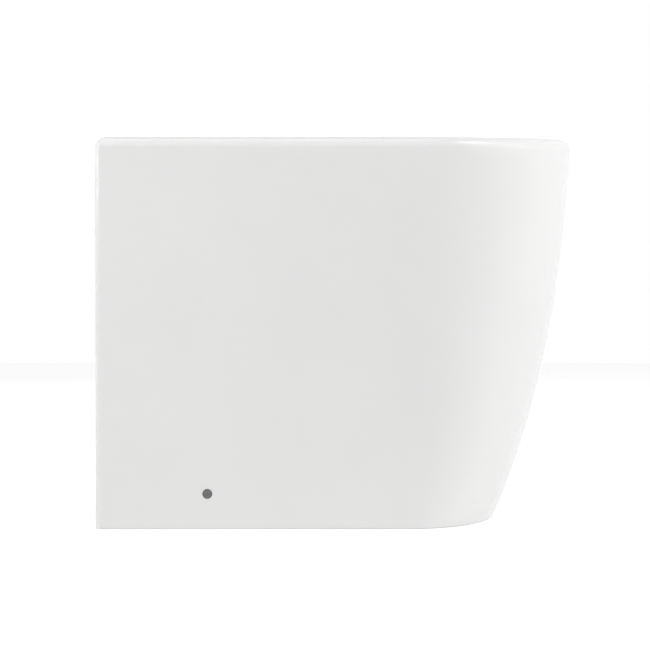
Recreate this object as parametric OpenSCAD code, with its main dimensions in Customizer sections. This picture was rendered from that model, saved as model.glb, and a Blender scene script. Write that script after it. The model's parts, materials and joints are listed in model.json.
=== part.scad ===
// Back to wall toilet pan with its hidden floor brackets, side fixings and flush pipe seal.
// Millimetres. +X points from the wall to the front, +Z up. The origin is on the floor, at
// the centre of the footprint. Inside the casting x is measured from the wall instead.

/* [Body] */
// Distance from the wall to the front of the rim
projection = 495; // [470:5:560]
// Width of the body
body_w = 360; // [340:5:400]
// Height of the rim above the floor
rim_h = 400; // [392:2:440]
// Distance of the foot's front edge behind the rim's front edge
foot_setback = 83; // [50:1:96]
// Lean of the front just under the rim, in degrees
rim_lean = 3.6; // [0:0.1:5]
// Lean of the front at the floor, in degrees
foot_lean = 23.7; // [12:0.1:26]
// Thickness of the skirt wall
skirt_t = 12; // [10:0.5:15]
// Radius of the rounded outer edge of the rim
rim_edge_r = 10; // [4:0.5:12]
// Radius of the two upright back corners
back_corner_r = 6; // [2:0.5:10]
// Radius of the foot's outer edge
foot_edge_r = 3; // [1:0.5:5]

/* [Rim and bowl] */
// Width of the rim at the sides and the front
rim_w = 42; // [38:1:50]
// Depth of the flat deck behind the bowl
deck_d = 126; // [116:1:136]
// Thickness of the deck and the rim
deck_t = 14; // [12:1:18]
// Radius of the inner edge of the rim
lip_edge_r = 6; // [2:0.5:8]
// Radius of the opening's back corners
opening_corner_r = 74; // [50:2:90]
// Depth of the flush shelf below the rim
shelf_drop = 66; // [60:1:70]
// Width of the flush shelf
shelf_w = 12; // [6:1:16]
// Fall of the flush shelf towards the bowl
shelf_fall = 6; // [2:1:10]
// Thickness of the bowl wall
bowl_t = 10; // [8:0.5:12]
// Steepest angle that the bowl's wall turns through, in degrees
bowl_turn = 60; // [50:1:70]

/* [Sump and trap] */
// Height of the standing water above the floor
water_h = 165; // [160:1:170]
// Distance from the wall to the back of the sump's mouth
sump_back = 200; // [194:1:206]
// Length of the sump's mouth
sump_l = 136; // [124:2:150]
// Width of the sump's mouth
sump_w = 116; // [104:2:130]
// Distance that the sump's wall draws in towards its floor
sump_draw = 42; // [34:1:44]
// Depth of water over the top of the trap's mouth
seal_depth = 50; // [46:1:54]
// Bore of the trap
trap_d = 54; // [48:1:56]
// Wall of the trap
trap_t = 9; // [7:0.5:11]
// Angle at which the trap rises, in degrees
trap_rise = 76; // [68:1:84]
// Radius of the trap's lower bend, on its centre line
lower_bend_r = 46; // [42:1:50]
// Radius of the trap's upper bend, on its centre line
upper_bend_r = 45; // [40:1:48]

/* [Waste outlet] */
// Outside diameter of the waste spigot
outlet_od = 102; // [98:1:110]
// Bore of the waste spigot
outlet_id = 84; // [78:1:88]
// Height of the waste spigot's centre above the floor
outlet_h = 185; // [180:1:190]
// Distance from the wall to the end of the waste spigot
outlet_setback = 52; // [46:1:60]
// Free length of the waste spigot
outlet_l = 42; // [36:1:46]
// Height of the shoulder round the waste spigot's root
outlet_shoulder = 6; // [4:1:9]

/* [Flush inlet] */
// Bore of the flush inlet
inlet_d = 55; // [52:1:58]
// Depth of the flush inlet's centre below the rim
inlet_drop = 68; // [64:1:74]
// Depth of the flush inlet's bore
inlet_depth = 90; // [70:1:96]
// Ceramic wall round the flush inlet
inlet_t = 10; // [8:0.5:12]
// Diameter of the counterbore that holds the seal's flange
inlet_seat_d = 66; // [62:1:70]
// Depth of that counterbore
inlet_seat_depth = 6; // [5:0.5:9]
// Width of the flush slot in the bowl's back wall
flush_slot_w = 46; // [36:1:50]
// Height of the flush slot
flush_slot_h = 16; // [12:1:18]

/* [Back opening] */
// Height of the opening in the back
window_h = 262; // [250:1:270]
// Width of the flange on either side of the opening
flange_w = 24; // [16:1:34]
// Radius of the opening's upper corners
window_r = 40; // [20:1:60]

/* [Seat fixing] */
// Distance between the two seat holes
seat_pitch = 155; // [140:1:170]
// Diameter of a seat hole
seat_hole_d = 16; // [12:0.5:18]
// Distance from the wall to the seat holes
seat_hole_setback = 62; // [55:1:80]

/* [Side fixing] */
// Diameter of the side fixing hole
side_hole_d = 10; // [9.5:0.5:12]
// Distance from the wall to the side fixing hole
side_hole_setback = 114; // [105:1:150]
// Height of the side fixing hole above the floor
side_hole_h = 36; // [32:1:44]
// Radial clearance of the pieces that sit in a hole
fit = 0.1; // [0.05:0.05:0.1]

/* [Floor bracket] */
// Length of the bracket along the wall of the skirt
bracket_l = 50; // [40:1:60]
// Depth of the bracket's foot, from its upright inwards
bracket_foot_d = 40; // [36:1:50]
// Thickness of the bracket's foot
bracket_foot_t = 6; // [4:0.5:8]
// Thickness of the bracket's upright
bracket_up_t = 8; // [7:0.5:10]
// Thickness of the bracket's ribs
rib_t = 5; // [3:0.5:7]
// Diameter of the boss round the nut
nut_boss_d = 20; // [16:0.5:24]
// Length of the boss behind the upright
nut_boss_l = 5; // [4:0.5:8]
// Wall between the nut and the face of the upright
nut_wall = 6; // [4:0.5:7]
// Width of the slot for the floor screw
floor_slot_w = 8; // [6:0.5:10]
// Length of the slot for the floor screw
floor_slot_l = 22; // [14:1:24]

/* [Screw and nut] */
// Thread diameter of the side screw
screw_d = 6; // [5:0.5:6]
// Length of the side screw under its head
screw_l = 20; // [19:1:26]
// Diameter of the screw head
screw_head_d = 9; // [8:0.5:9]
// Height of the screw head
screw_head_h = 4; // [3:0.5:4]
// Width across flats of the screw's socket
socket_af = 4; // [3:0.5:5]
// Depth of the screw's socket
socket_depth = 2.5; // [1.5:0.5:2.5]
// Width across flats of the nut
nut_af = 10; // [8.5:0.5:11]
// Thickness of the nut
nut_t = 5; // [4:0.5:5]

/* [Bush and cap] */
// Diameter of the bush's flange
bush_flange_d = 22; // [16:0.5:26]
// Thickness of the bush's flange
bush_flange_t = 2; // [1.5:0.5:3]
// Length of the bush's barrel inside the hole
bush_barrel_l = 3.5; // [3:0.5:4]
// Depth of the cap's face below the skirt's surface
cap_recess = 0.4; // [0:0.1:1]
// Thickness of the cap's face
cap_face_t = 1.6; // [1:0.1:2]
// Width of the bevel round the cap's face
cap_bevel = 0.8; // [0.2:0.1:0.9]
// Length of the cap's stem behind its face
cap_stem_l = 2; // [1:0.1:2]
// Thickness of the cap's stem
cap_stem_t = 1.2; // [0.8:0.1:1.5]

/* [Flush pipe seal] */
// Diameter of the flush pipe that the seal grips
flush_pipe_d = 45; // [40:1:46]
// Length of the seal in the inlet
seal_l = 40; // [30:1:46]
// Thickness of the seal's flange
seal_flange_t = 4; // [3:0.5:5]
// Height of each fin above the seal's sleeve
seal_fin_h = 2.2; // [1:0.1:3]
// Number of fins
seal_fins = 4; // [2:1:5]

/* [Hidden] */

// Overshoot of a cut past the face that it opens.
over = 1;
$fn = 64;
// Facets round the cast tubes, and steps along each stretch of an outline or a bend.
tube_fn = 28;
back_steps = 2;
corner_steps = 5;
front_steps = 12;
bend_steps = 6;

// Every outline of the body starts to curve at this distance from the wall.
front_start = projection - body_w / 2;

// Heights inside the casting.
shelf_h = rim_h - shelf_drop;
bowl_top_h = shelf_h - shelf_fall;
inlet_h = rim_h - inlet_drop;
sump_floor_h = water_h - seal_depth - trap_d;
lower_trap_h = sump_floor_h + trap_d / 2;
upper_trap_h = water_h + trap_d / 2;

// The trap's lower bend starts just behind the sump's mouth, and its climb ends at the weir.
trap_turn_x = sump_back - trap_t / 2;
bend_sum_r = lower_bend_r + upper_bend_r;
trap_climb = upper_trap_h - lower_trap_h;
riser_l = (trap_climb - bend_sum_r * (1 - cos(trap_rise))) / sin(trap_rise);
weir_x = trap_turn_x - bend_sum_r * sin(trap_rise) - riser_l * cos(trap_rise);
outlet_root = outlet_setback + outlet_l;

// Distances from the centre plane along the side fixing.
skirt_out = body_w / 2;
skirt_in = skirt_out - skirt_t;
upright_out = skirt_in - bush_flange_t;
upright_in = upright_out - bracket_up_t;
nut_seat = upright_out - nut_wall;
head_seat = skirt_in + bush_barrel_l;

glaze = [0.93, 0.93, 0.92];
nylon = [0.86, 0.86, 0.84];
zinc = [0.62, 0.63, 0.65];
cap_grey = [0.43, 0.43, 0.44];
black_rubber = [0.09, 0.09, 0.09];

// ---------- outlines and lofts ----------

// Setback of the body's front at height z: a smooth curve from rim_lean to foot_lean.
function front_setback(z) =
    let (u = 1 - z / rim_h, m0 = rim_h * tan(rim_lean), m1 = rim_h * tan(foot_lean))
    m0 * (pow(u, 3) - 2 * pow(u, 2) + u)
    + foot_setback * (3 * pow(u, 2) - 2 * pow(u, 3))
    + m1 * (pow(u, 3) - pow(u, 2));

// An outline is [back, front, half width, back corner radius, length of the front curve].
function inset(o, d) = [o[0] + d, o[1] - d, o[2] - d, max(o[3] - d, 0.5), o[4] - d];
function between(a, b, t) = [for (i = [0:4]) a[i] + (b[i] - a[i]) * t];

// Half of an outline: from the middle of its back, round a corner and along to the front tip.
function half_points(o) = concat(
    [for (i = [0:back_steps - 1]) [o[0], (o[2] - o[3]) * i / back_steps]],
    [for (i = [0:corner_steps]) let (a = 90 * i / corner_steps)
        [o[0] + o[3] * (1 - cos(a)), o[2] - o[3] * (1 - sin(a))]],
    [[(o[0] + o[3] + o[1] - o[4]) / 2, o[2]]],
    [for (i = [0:front_steps]) let (a = 90 * i / front_steps)
        [o[1] - o[4] * (1 - sin(a)), o[2] * cos(a)]]
);

// The whole outline as a ring of points at height z.
function ring(o, z) =
    let (half = half_points(o), n = len(half))
    concat(
        [for (p = half) [p[0], p[1], z]],
        [for (i = [n - 2:-1:1]) [half[i][0], -half[i][1], z]]
    );

// A closed solid through rings of equal length, from the first to the last.
module loft(rings) {
    n = len(rings[0]);
    last = len(rings) - 1;
    polyhedron(
        points = [for (r = rings) each r],
        faces = concat(
            [[for (i = [n - 1:-1:0]) i]],
            [for (k = [0:last - 1]) for (i = [0:n - 1]) let (j = (i + 1) % n)
                each [
                    [k * n + i, k * n + j, (k + 1) * n + i],
                    [k * n + j, (k + 1) * n + j, (k + 1) * n + i]
                ]],
            [[for (i = [0:n - 1]) last * n + i]]
        )
    );
}

// ---------- outlines of the casting ----------

// Outline of the body at height z, with its surface moved in by d.
function body_outline(z, d = 0) = [
    d, projection - front_setback(z) - d, body_w / 2 - d,
    max(back_corner_r - d, 0.5), projection - front_setback(z) - d - front_start
];

opening_w = body_w - 2 * rim_w;
opening = [deck_d, projection - rim_w, opening_w / 2, opening_corner_r, opening_w / 2];
shelf_edge = inset(opening, shelf_w);
sump_mouth = [sump_back, sump_back + sump_l, sump_w / 2, sump_w / 2 - 2, sump_l / 2];
sump_floor = inset(sump_mouth, sump_draw);

// Rings of the bowl's hollow, from the sump's floor up to the flush shelf. A grow above 0
// gives the outer surface of the bowl's wall, that far outside the hollow.
function bowl_rings(grow = 0) = concat(
    [for (i = [bend_steps:-1:0]) let (a = 90 * i / bend_steps)
        ring(
            inset(between(sump_mouth, sump_floor, 1 - cos(a)), -grow * cos(a)),
            water_h - (water_h - sump_floor_h) * sin(a) - grow * sin(a)
        )],
    [for (i = [bend_steps - 1:-1:0]) let (a = bowl_turn * i / bend_steps)
        ring(
            inset(
                between(shelf_edge, sump_mouth, (1 - cos(a)) / (1 - cos(bowl_turn))),
                -grow * cos(a)
            ),
            bowl_top_h - (bowl_top_h - water_h) * sin(a) / sin(bowl_turn) - grow * sin(a)
        )]
);

// Rings from the flush shelf up to the rim's rounded inner edge and past it.
function lip_rings() = concat(
    [ring(opening, shelf_h)],
    [for (i = [0:3]) let (a = 90 * i / 3)
        ring(inset(opening, -lip_edge_r * (1 - cos(a))), rim_h - lip_edge_r * (1 - sin(a)))],
    [ring(inset(opening, -lip_edge_r), rim_h + over)]
);

// A ring of radius r square to the trap's path, where the path climbs at the given angle.
function tube_ring(x, z, climb, r) = [for (i = [0:tube_fn - 1]) let (a = -360 * i / tube_fn)
    [x + r * cos(a) * sin(climb), r * sin(a), z + r * cos(a) * cos(climb)]];

// Ring of radius r round the trap's upper bend, where the path climbs at angle a.
function trap_ring_at(a, r) = tube_ring(
    weir_x + upper_bend_r * sin(a), upper_trap_h - upper_bend_r * (1 - cos(a)), a, r
);

// Rings of radius r along the trap: out of the sump, up behind it and over the weir.
function trap_rings(r) = concat(
    [tube_ring(sump_back + sump_l / 3, lower_trap_h, 0, r)],
    [for (i = [0:bend_steps]) let (a = trap_rise * i / bend_steps)
        tube_ring(
            trap_turn_x - lower_bend_r * sin(a), lower_trap_h + lower_bend_r * (1 - cos(a)), a, r
        )],
    [for (i = [bend_steps:-1:0]) trap_ring_at(trap_rise * i / bend_steps, r)]
);

// ---------- the casting ----------

// Outside of the body: rounded foot edge, leaning front, rounded rim edge.
module body_solid() {
    levels = 10;
    top = rim_h - rim_edge_r;
    foot = [for (i = [0:2]) let (a = 45 * i)
        ring(body_outline(0, foot_edge_r * (1 - sin(a))), foot_edge_r * (1 - cos(a)))];
    sides = [for (i = [1:levels - 1]) let (z = foot_edge_r + (top - foot_edge_r) * i / levels)
        ring(body_outline(z), z)];
    edge = [for (i = [0:4]) let (a = 90 * i / 4)
        ring(body_outline(top, rim_edge_r * (1 - cos(a))), top + rim_edge_r * sin(a))];
    loft(concat(foot, sides, edge));
}

// Hollow of the skirt, open to the floor.
module skirt_hollow() {
    levels = 8;
    top = rim_h - deck_t;
    loft([for (i = [0:levels]) let (z = top * i / levels)
        ring(body_outline(z, skirt_t), i == 0 ? -over : z)]);
}

// Outside of the bowl's wall, up into the deck.
module bowl_solid() {
    wall = inset(opening, -bowl_t);
    loft(concat(bowl_rings(bowl_t), [ring(wall, shelf_h - bowl_t / 2)], [ring(wall, rim_h - deck_t / 2)]));
}

module bowl_hollow() loft(concat(bowl_rings(), lip_rings()));

module trap_tube(r) loft(trap_rings(r));

// Solid root of the waste spigot: the tube over the weir flares out to the shoulder.
module outlet_flare() loft([
    trap_ring_at(trap_rise / 3, trap_d / 2 + trap_t),
    tube_ring(weir_x + trap_t, outlet_h, 0, outlet_id / 2 + trap_t),
    tube_ring(outlet_root, outlet_h, 0, outlet_od / 2 + outlet_shoulder)
]);

// Solid wall between the sump and the rising trap, before both are hollowed.
module trap_web() {
    w = trap_d + trap_t;
    z = water_h - seal_depth;
    translate([sump_back - trap_d, -w / 2, z]) cube([trap_d, w, upper_trap_h - z]);
}

// Solid horn from the back panel to the bowl, for the flush inlet's bore.
module inlet_horn() {
    r = inlet_d / 2 + inlet_t;
    loft([for (x = [deck_d + shelf_w, skirt_t / 2]) tube_ring(x, inlet_h, 0, r)]);
}

// Slot from the inlet's bore to the bowl, just above the flush shelf.
module flush_slot() {
    start = inlet_depth - flush_slot_h;
    half = (flush_slot_w - flush_slot_h) / 2;
    z = shelf_h + flush_slot_h / 2;
    translate([start, 0, z]) rotate([0, 90, 0]) hull()
        for (s = [-1, 1]) translate([0, s * half, 0])
            cylinder(d = flush_slot_h, h = deck_d + over - start, $fn = 20);
}

// Opening in the back for the waste pipe, with rounded upper corners.
module back_window() {
    half = body_w / 2 - skirt_t - flange_w;
    translate([-over, 0, 0]) rotate([90, 0, 90]) linear_extrude(skirt_t + 2 * over) hull() {
        translate([-half, -over]) square([2 * half, over]);
        for (s = [-1, 1]) translate([s * (half - window_r), window_h - window_r])
            circle(r = window_r, $fn = 32);
    }
}

// The whole casting but for its spigot and its true round holes.
module casting() difference() {
    union() {
        difference() {
            body_solid();
            skirt_hollow();
        }
        bowl_solid();
        trap_tube(trap_d / 2 + trap_t);
        outlet_flare();
        trap_web();
        inlet_horn();
    }
    bowl_hollow();
    trap_tube(trap_d / 2);
    flush_slot();
    back_window();
}

// A cylinder along +X from x to x + l, at height z.
module along_x(x, z, d, l) translate([x, 0, z]) rotate([0, 90, 0]) cylinder(d = d, h = l);

module pan() color(glaze) translate([-projection / 2, 0, 0]) difference() {
    union() {
        resize([projection, body_w, rim_h]) casting();
        along_x(outlet_setback, outlet_h, outlet_od, outlet_l + over);
    }
    along_x(outlet_setback - over, outlet_h, outlet_id, weir_x + 2 * over - outlet_setback);
    along_x(-over, inlet_h, inlet_seat_d, inlet_seat_depth + over);
    along_x(0, inlet_h, inlet_d, inlet_depth);
    for (s = [-1, 1]) {
        translate([seat_hole_setback, s * seat_pitch / 2, rim_h - deck_t - over])
            cylinder(d = seat_hole_d, h = deck_t + 2 * over);
        translate([side_hole_setback, s * (skirt_in - over), side_hole_h]) rotate([-90 * s, 0, 0])
            cylinder(d = side_hole_d, h = skirt_t + 2 * over);
    }
}

// ---------- fixings, made for the left side ----------

// Puts a piece at the side hole, y away from the centre plane, its own +Z pointing outwards.
module at_side_hole(y) {
    translate([side_hole_setback - projection / 2, y, side_hole_h]) rotate([-90, 0, 0]) children();
}

module other_side() mirror([0, 1, 0]) children();

// Outline of a hexagon of the given width across flats.
module hexagon(af) circle(d = af / cos(30), $fn = 6);

// Side view of a rib: a gusset from the back of the foot up to the nut's boss.
module rib_outline() polygon([
    [0, 0], [bracket_foot_d - rib_t, 0], [0, side_hole_h - bracket_foot_t]
]);

module floor_bracket() color(nylon) {
    centre_x = side_hole_setback - projection / 2;
    back_x = centre_x - bracket_l / 2;
    foot_in = upright_in - bracket_foot_d;
    slot_y = upright_in - bracket_foot_d / 2;
    slot_run = floor_slot_l - floor_slot_w;
    difference() {
        union() {
            translate([back_x, foot_in, 0])
                cube([bracket_l, bracket_foot_d + bracket_up_t, bracket_foot_t]);
            translate([back_x, upright_in, 0]) cube([bracket_l, bracket_up_t, side_hole_h]);
            at_side_hole(upright_in) cylinder(d = bracket_l, h = bracket_up_t);
            at_side_hole(upright_in - nut_boss_l) cylinder(d = nut_boss_d, h = nut_boss_l + over);
            for (x = [back_x, back_x + bracket_l - rib_t])
                translate([x, upright_in, bracket_foot_t]) rotate([90, 0, 90])
                    linear_extrude(rib_t) mirror([1, 0]) rib_outline();
        }
        at_side_hole(upright_in - nut_boss_l - over)
            cylinder(d = screw_d + 4 * fit, h = nut_boss_l + bracket_up_t + 2 * over);
        at_side_hole(upright_in - nut_boss_l - over)
            linear_extrude(nut_seat - upright_in + nut_boss_l + over) hexagon(nut_af + 2 * fit);
        for (s = [-1, 1]) translate([centre_x, slot_y + s * slot_run / 2, -over])
            cylinder(d = floor_slot_w, h = bracket_foot_t + 2 * over);
        translate([centre_x - floor_slot_w / 2, slot_y - slot_run / 2, -over])
            cube([floor_slot_w, slot_run, bracket_foot_t + 2 * over]);
    }
}

module bracket_nut() color(zinc) at_side_hole(nut_seat - nut_t) difference() {
    linear_extrude(nut_t) hexagon(nut_af);
    translate([0, 0, -over]) cylinder(d = screw_d + fit, h = nut_t + 2 * over);
}

module side_bush() color(nylon) at_side_hole(upright_out) difference() {
    union() {
        cylinder(d = bush_flange_d, h = bush_flange_t);
        cylinder(d = side_hole_d - 2 * fit, h = bush_flange_t + bush_barrel_l);
    }
    translate([0, 0, -over])
        cylinder(d = screw_d + 4 * fit, h = bush_flange_t + bush_barrel_l + 2 * over);
}

module side_screw() color(zinc) at_side_hole(head_seat - screw_l) difference() {
    union() {
        cylinder(d = screw_d, h = screw_l);
        translate([0, 0, screw_l]) cylinder(d = screw_head_d, h = screw_head_h);
    }
    translate([0, 0, screw_l + screw_head_h - socket_depth])
        linear_extrude(socket_depth + over) hexagon(socket_af);
}

module cover_cap() color(cap_grey) {
    cap_d = side_hole_d - 2 * fit;
    cap_l = cap_stem_l + cap_face_t;
    at_side_hole(skirt_out - cap_recess - cap_l) difference() {
        union() {
            cylinder(d = cap_d, h = cap_l - cap_bevel);
            translate([0, 0, cap_l - cap_bevel])
                cylinder(d1 = cap_d, d2 = cap_d - 2 * cap_bevel, h = cap_bevel);
        }
        translate([0, 0, -over]) cylinder(d = cap_d - 2 * cap_stem_t, h = cap_stem_l + over);
    }
}

// Rubber seal in the flush inlet: a flange in the counterbore, and a sleeve with fins.
module inlet_seal() color(black_rubber)
    translate([inlet_seat_depth - seal_flange_t - projection / 2, 0, inlet_h]) rotate([0, 90, 0])
        difference() {
            sleeve_d = inlet_d - 2 * seal_fin_h;
            union() {
                cylinder(d = inlet_seat_d - 4 * fit, h = seal_flange_t);
                cylinder(d = sleeve_d, h = seal_flange_t + seal_l);
                for (i = [1:seal_fins])
                    translate([0, 0, seal_flange_t + seal_l * i / (seal_fins + 0.5)])
                        cylinder(d1 = inlet_d - 2 * fit, d2 = sleeve_d, h = seal_fin_h);
            }
            translate([0, 0, -over]) cylinder(d = flush_pipe_d, h = seal_flange_t + seal_l + 2 * over);
        }

pan();
inlet_seal();
floor_bracket();  // floor_bracket_left
other_side() floor_bracket();  // floor_bracket_right
bracket_nut();  // bracket_nut_left
other_side() bracket_nut();  // bracket_nut_right
side_bush();  // side_bush_left
other_side() side_bush();  // side_bush_right
side_screw();  // side_screw_left
other_side() side_screw();  // side_screw_right
cover_cap();  // cover_cap_left
other_side() cover_cap();  // cover_cap_right
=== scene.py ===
import json
from math import cos, hypot, pi, radians, sin, tan

import bmesh
import bpy
from bpy.props import FloatProperty, FloatVectorProperty, PointerProperty
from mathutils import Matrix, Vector

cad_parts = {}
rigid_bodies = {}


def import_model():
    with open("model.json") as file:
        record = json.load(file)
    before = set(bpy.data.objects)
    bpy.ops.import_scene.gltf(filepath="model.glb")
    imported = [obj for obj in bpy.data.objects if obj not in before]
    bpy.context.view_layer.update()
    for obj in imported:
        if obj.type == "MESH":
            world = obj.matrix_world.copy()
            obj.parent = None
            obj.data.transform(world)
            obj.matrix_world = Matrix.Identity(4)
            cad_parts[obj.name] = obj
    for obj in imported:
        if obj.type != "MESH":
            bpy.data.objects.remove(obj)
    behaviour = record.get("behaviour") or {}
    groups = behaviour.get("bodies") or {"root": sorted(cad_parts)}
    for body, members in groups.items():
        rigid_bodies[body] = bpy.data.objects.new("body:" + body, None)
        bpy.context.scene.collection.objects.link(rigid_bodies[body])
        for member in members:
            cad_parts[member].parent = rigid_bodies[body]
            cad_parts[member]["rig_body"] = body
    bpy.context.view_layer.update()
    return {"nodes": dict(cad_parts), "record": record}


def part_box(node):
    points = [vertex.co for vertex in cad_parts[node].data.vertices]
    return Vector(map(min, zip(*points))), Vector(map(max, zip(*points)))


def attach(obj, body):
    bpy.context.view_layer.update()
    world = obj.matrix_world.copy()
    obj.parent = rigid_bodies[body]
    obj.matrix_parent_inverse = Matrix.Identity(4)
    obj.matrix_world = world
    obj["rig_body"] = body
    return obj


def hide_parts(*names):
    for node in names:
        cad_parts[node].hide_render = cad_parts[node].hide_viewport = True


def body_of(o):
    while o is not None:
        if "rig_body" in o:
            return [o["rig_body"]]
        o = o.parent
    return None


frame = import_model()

bl_info = {
    "name": "Back to wall toilet pan",
    "version": (1, 0, 0),
    "blender": (4, 5, 0),
    "location": "3D View > Sidebar > Toilet pan",
    "description": "Dresses the toilet pan's casting and its fixings and sets a studio round them",
    "category": "Object",
}

PAN_LOW, PAN_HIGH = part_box("pan")
MOUNTS = {mount["name"]: mount for mount in frame["record"]["mounts"]}
SEAT_HOLES = MOUNTS["seat_hinge_holes"]
OUTLET = MOUNTS["waste_outlet"]
INLET = MOUNTS["flush_inlet"]
CAP_LOW, CAP_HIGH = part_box("cover_cap_left")

MM = 0.001
# How far a point may lie from a plane or a circle and still count as on it.
SLACK = 0.1 * MM
# Points closer together than this are merged.
DOUBLED = 0.01 * MM
# How far a cutter reaches past the surface that it cuts.
OVER = 2 * MM
# Width left over beside a rounded edge or a wall's thickness, so that no face folds over.
EASE = 2 * MM
# The casting's two finishes, by their places in its list of materials.
GLAZED, BARE = 0, 1

# The mounts' places and sizes.
SEAT_HOLE_X = SEAT_HOLES["pos_m"][0]
SEAT_HOLE_Y = SEAT_HOLES["dims"]["spacing_y_mm"] * MM / 2
SEAT_HOLE_RADIUS = SEAT_HOLES["dims"]["hole_r_mm"] * MM
OUTLET_X, _, OUTLET_Z = OUTLET["pos_m"]
OUTLET_RADIUS = OUTLET["dims"]["r_mm"] * MM
OUTLET_HALF = OUTLET["dims"]["length_mm"] * MM / 2
INLET_Z = INLET["pos_m"][2]
CAP_MIDDLE = (CAP_LOW + CAP_HIGH) / 2

# How finely the curves are cut: an outline's front and other round corners, the body's side,
# the bowl and the sump, the trap's bends, the flare into the spigot, the edges of the casting
# and of its holes, and the round rods.
FRONT_SEGMENTS, CORNER_SEGMENTS = 48, 12
BODY_LEVELS = 24
BOWL_STEPS = 10
BEND_STEPS = 16
FLARE_STEPS = 8
EDGE_SEGMENTS, MOUTH_SEGMENTS = 8, 3
ROD_SIDES, TRAP_SIDES, SPIGOT_SIDES = 64, 48, 96
# An outline's edges longer than this are cut into ten.
LONG_EDGE = 40 * MM
LONG_EDGE_CUTS = 9
# Height of the body's lowest ring above the floor, and the height under which all is foot.
LOWEST_RING = 8 * MM
FOOT_TOP = 6.5 * MM
# The bowl's rings turn this much rounder, from this part of the way to the sump's mouth.
ROUNDNESS, ROUND_FROM = 0.12, 0.1
# The flare starts and ends this far in front of the weir and comes down this much, and the
# shoulder behind it is this long.
FLARE_START, FLARE_END, FLARE_FALL = 26 * MM, 8 * MM, 3 * MM
SHOULDER_LENGTH = 3 * MM
# How far the trap's bore runs on past the weir, and the height at which the cutter for the back
# opening starts.
BORE_PAST_WEIR = 6 * MM
WINDOW_LOW = -10 * MM
# Angles between two faces from which an edge counts as sharp: on the casting's loops, round the
# sump, and at the holes and on the fixings.
SHARP, SUMP_SHARP, CREASE = radians(20), radians(15), radians(40)
# Angles up to which two faces count as one flat face, on the casting and on a solid's copy.
FLAT, COPY_FLAT = radians(0.1), radians(0.5)
# Angle up to which an edge is shaded smooth.
SMOOTH = radians(32)


# ---------- sizes and colours ----------


def length(name, description, default):
    """A size in metres that the panel shows."""
    return FloatProperty(
        name=name, description=description, default=default, min=0.0, unit="LENGTH", precision=4
    )


def angle(name, description, default):
    """An angle that the panel shows, its default given in degrees."""
    return FloatProperty(
        name=name, description=description, default=radians(default), subtype="ANGLE"
    )


def watts(name, description, default):
    """A lamp's power."""
    return FloatProperty(name=name, description=description, default=default, min=0.0)


def colour(name, description, default):
    """A colour in linear light."""
    return FloatVectorProperty(
        name=name, description=description, default=default, size=3, min=0.0, max=1.0,
        subtype="COLOR",
    )


class PanSizes(bpy.types.PropertyGroup):
    """Sizes of the casting."""

    width: length("Width", "Width of the body", PAN_HIGH.y - PAN_LOW.y)
    height: length("Height", "Height of the rim above the floor", PAN_HIGH.z)
    foot_setback: length("Foot setback", "Distance of the foot's front behind the rim's", 83 * MM)
    rim_lean: angle("Rim lean", "Lean of the front just under the rim", 3.6)
    foot_lean: angle("Foot lean", "Lean of the front at the floor", 23.7)
    wall: length("Wall", "Thickness of the skirt and the bowl", 12 * MM)
    rim_edge: length("Rim edge", "Radius of the rim's rounded outer edge", 11 * MM)
    back_corner: length("Back corner", "Radius of the upright back corners", 6 * MM)
    foot_edge: length("Foot edge", "Radius of the foot's outer edge", 1.5 * MM)
    rim_width: length("Rim width", "Width of the rim at the sides and the front", 42 * MM)
    deck_depth: length("Deck depth", "Depth of the flat deck behind the bowl", 126 * MM)
    opening_corner: length("Opening corner", "Radius of the opening's back corners", 74 * MM)
    lip_edge: length("Lip edge", "Radius of the rim's inner edge", 6 * MM)
    shelf_drop: length("Shelf drop", "Depth of the flush shelf below the rim", 66 * MM)
    shelf_width: length("Shelf width", "Width of the flush shelf", 12 * MM)
    shelf_fall: length("Shelf fall", "Fall of the flush shelf towards the bowl", 6 * MM)
    shelf_edge: length("Shelf edge", "Radius where the rim's wall meets the flush shelf", 5 * MM)
    bowl_edge: length("Bowl edge", "Radius of the flush shelf's inner edge", 4 * MM)
    bowl_turn: angle("Bowl turn", "Angle that the bowl's wall turns through", 60)
    water_height: length("Water height", "Height of the sump's mouth above the floor", 165 * MM)
    sump_back: length("Sump back", "Distance from the wall to the sump's mouth", 200 * MM)
    sump_length: length("Sump length", "Length of the sump's mouth", 136 * MM)
    sump_width: length("Sump width", "Width of the sump's mouth", 116 * MM)
    sump_draw: length("Sump draw", "Distance that the sump draws in towards its floor", 42 * MM)
    sump_floor: length("Sump floor", "Height of the sump's floor", 61 * MM)
    sump_edge: length("Sump edge", "Radius of the edge round the sump's mouth", 10 * MM)


class TrapSizes(bpy.types.PropertyGroup):
    """Sizes of the trap, the waste outlet and the flush inlet."""

    bore: length("Trap bore", "Bore of the trap", 54 * MM)
    wall: length("Trap wall", "Thickness of the trap's wall", 9 * MM)
    rise: angle("Trap rise", "Angle at which the trap climbs", 76)
    lower_bend: length("Lower bend", "Radius of the trap's lower bend", 46 * MM)
    upper_bend: length("Upper bend", "Radius of the trap's upper bend", 45 * MM)
    outlet_bore: length("Outlet bore", "Bore of the waste spigot", 84 * MM)
    shoulder: length("Shoulder", "Height of the shoulder at the spigot's root", 6 * MM)
    inlet_bore: length("Inlet bore", "Bore of the flush inlet", 55 * MM)
    inlet_seat: length("Inlet seat", "Diameter of the counterbore for the seal", 66 * MM)
    inlet_seat_depth: length("Seat depth", "Depth of the counterbore for the seal", 6 * MM)
    inlet_depth: length("Inlet depth", "Depth of the flush inlet's bore", 90 * MM)
    inlet_wall: length("Inlet wall", "Ceramic round the flush inlet", 10 * MM)
    slot_width: length("Slot width", "Width of the flush slot", 46 * MM)
    slot_height: length("Slot height", "Height of the flush slot", 16 * MM)


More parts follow.
